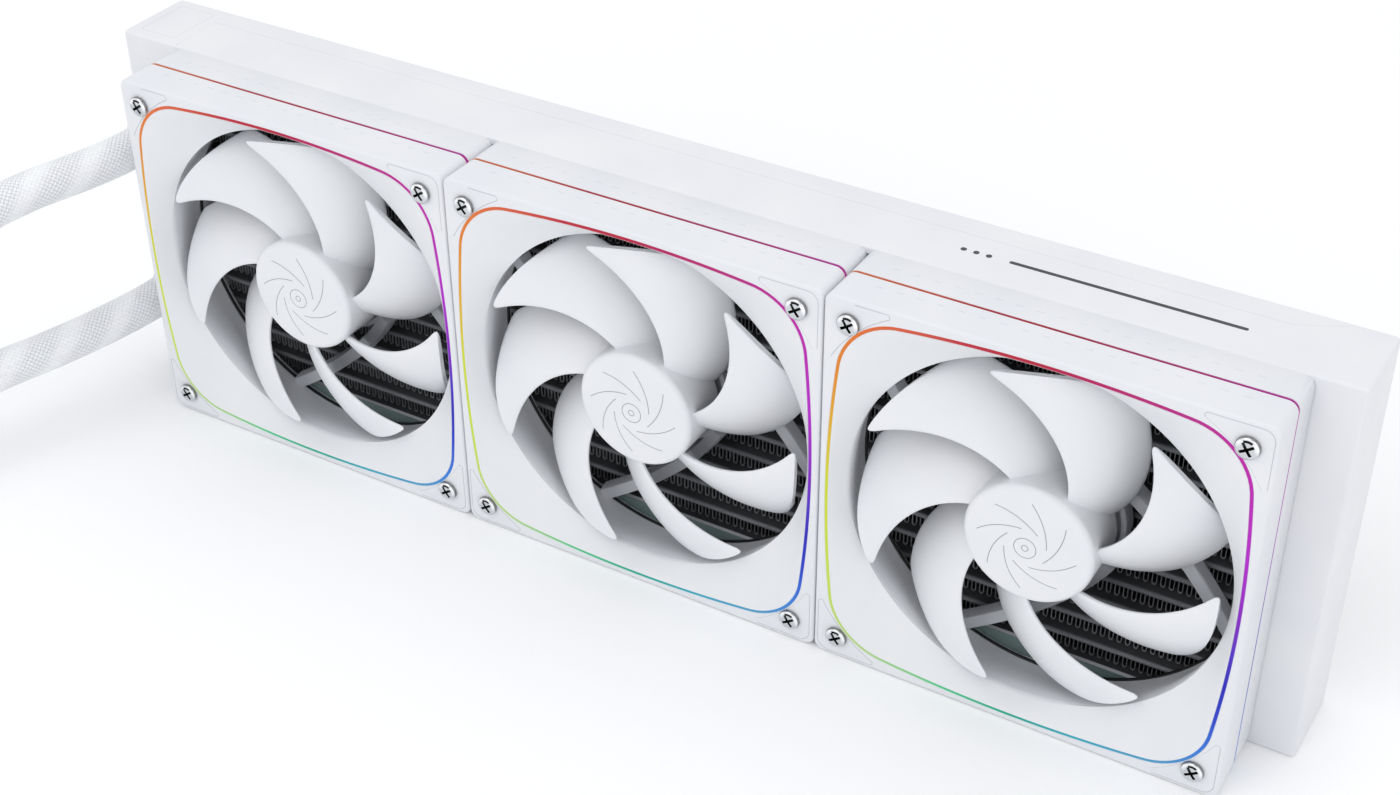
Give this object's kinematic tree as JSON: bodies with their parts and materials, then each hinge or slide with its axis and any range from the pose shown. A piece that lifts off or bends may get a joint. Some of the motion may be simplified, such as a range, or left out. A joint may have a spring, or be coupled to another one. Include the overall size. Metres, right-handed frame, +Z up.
{
  "type": "liquid cooling radiator",
  "caption": "Finned liquid cooling radiator standing on its long side, with lit axial fans screwed to its front and sleeved hoses from its wide tank.",
  "frame": {"origin": "middle of the bottom of the box around radiator and fans, without the hoses", "axes": "+X along the radiator's long side towards the narrow tank, +Y from the fans to the open back of the core, +Z up"},
  "size_m": [0.6159, 0.1631, 0.12],
  "materials": {
    "fan_frame": "fine satin",
    "fan_bezel": "smooth satin",
    "front_light": "translucent light guide, lit in a colour run",
    "side_light": "translucent light guide, lit in a colour run",
    "fan_blades": "satin",
    "rotor_magnet": "bonded ferrite, dull",
    "steel": "turned",
    "bearing_bronze": "sintered",
    "motor_laminate": "stamped sheets",
    "circuit_board": "solder mask",
    "screw_chrome": "bright plated",
    "radiator_paint": "fine powder coat",
    "core_black": "satin black coat",
    "hose_sleeve": "braided sleeve",
    "hose_collar": "satin"
  },
  "bodies": {
    "root": {"fan_1_frame": "fan_frame", "fan_1_front_bezel": "fan_bezel", "fan_1_light_ring": "front_light", "fan_1_side_light_band": "side_light", "fan_1_bearing": "bearing_bronze", "fan_1_stator": "motor_laminate", "fan_1_circuit_board": "circuit_board", "fan_1_screw_1": "screw_chrome", "fan_1_screw_2": "screw_chrome", "fan_1_screw_3": "screw_chrome", "fan_1_screw_4": "screw_chrome", "fan_2_frame": "fan_frame", "fan_2_front_bezel": "fan_bezel", "fan_2_light_ring": "front_light", "fan_2_side_light_band": "side_light", "fan_2_bearing": "bearing_bronze", "fan_2_stator": "motor_laminate", "fan_2_circuit_board": "circuit_board", "fan_2_screw_1": "screw_chrome", "fan_2_screw_2": "screw_chrome", "fan_2_screw_3": "screw_chrome", "fan_2_screw_4": "screw_chrome", "fan_3_frame": "fan_frame", "fan_3_front_bezel": "fan_bezel", "fan_3_light_ring": "front_light", "fan_3_side_light_band": "side_light", "fan_3_bearing": "bearing_bronze", "fan_3_stator": "motor_laminate", "fan_3_circuit_board": "circuit_board", "fan_3_screw_1": "screw_chrome", "fan_3_screw_2": "screw_chrome", "fan_3_screw_3": "screw_chrome", "fan_3_screw_4": "screw_chrome", "core": "core_black", "top_side_plate": "radiator_paint", "bottom_side_plate": "radiator_paint", "wide_tank": "radiator_paint", "narrow_tank": "radiator_paint", "tank_cap_top": "radiator_paint", "tank_cap_bottom": "radiator_paint", "hose_upper": "hose_sleeve", "hose_lower": "hose_sleeve", "tank_fitting_upper": "steel", "tank_fitting_lower": "steel", "tank_collar_upper": "hose_collar", "tank_collar_lower": "hose_collar", "pump_fitting_upper": "steel", "pump_fitting_lower": "steel", "pump_collar_upper": "hose_collar", "pump_collar_lower": "hose_collar"},
    "impeller_1": {"fan_1_impeller": "fan_blades", "fan_1_rotor_magnet": "rotor_magnet", "fan_1_shaft": "steel"},
    "impeller_2": {"fan_2_impeller": "fan_blades", "fan_2_rotor_magnet": "rotor_magnet", "fan_2_shaft": "steel"},
    "impeller_3": {"fan_3_impeller": "fan_blades", "fan_3_rotor_magnet": "rotor_magnet", "fan_3_shaft": "steel"}
  },
  "joints": [
    {"name": "fan_1_spin", "type": "hinge", "parent": "root", "child": "impeller_1", "pos_m": [-0.1155, -0.0128, 0.06], "axis": [0, -1, 0], "continuous": true},
    {"name": "fan_2_spin", "type": "hinge", "parent": "root", "child": "impeller_2", "pos_m": [0.0045, -0.0128, 0.06], "axis": [0, -1, 0], "continuous": true},
    {"name": "fan_3_spin", "type": "hinge", "parent": "root", "child": "impeller_3", "pos_m": [0.1245, -0.0128, 0.06], "axis": [0, -1, 0], "continuous": true}
  ]
}
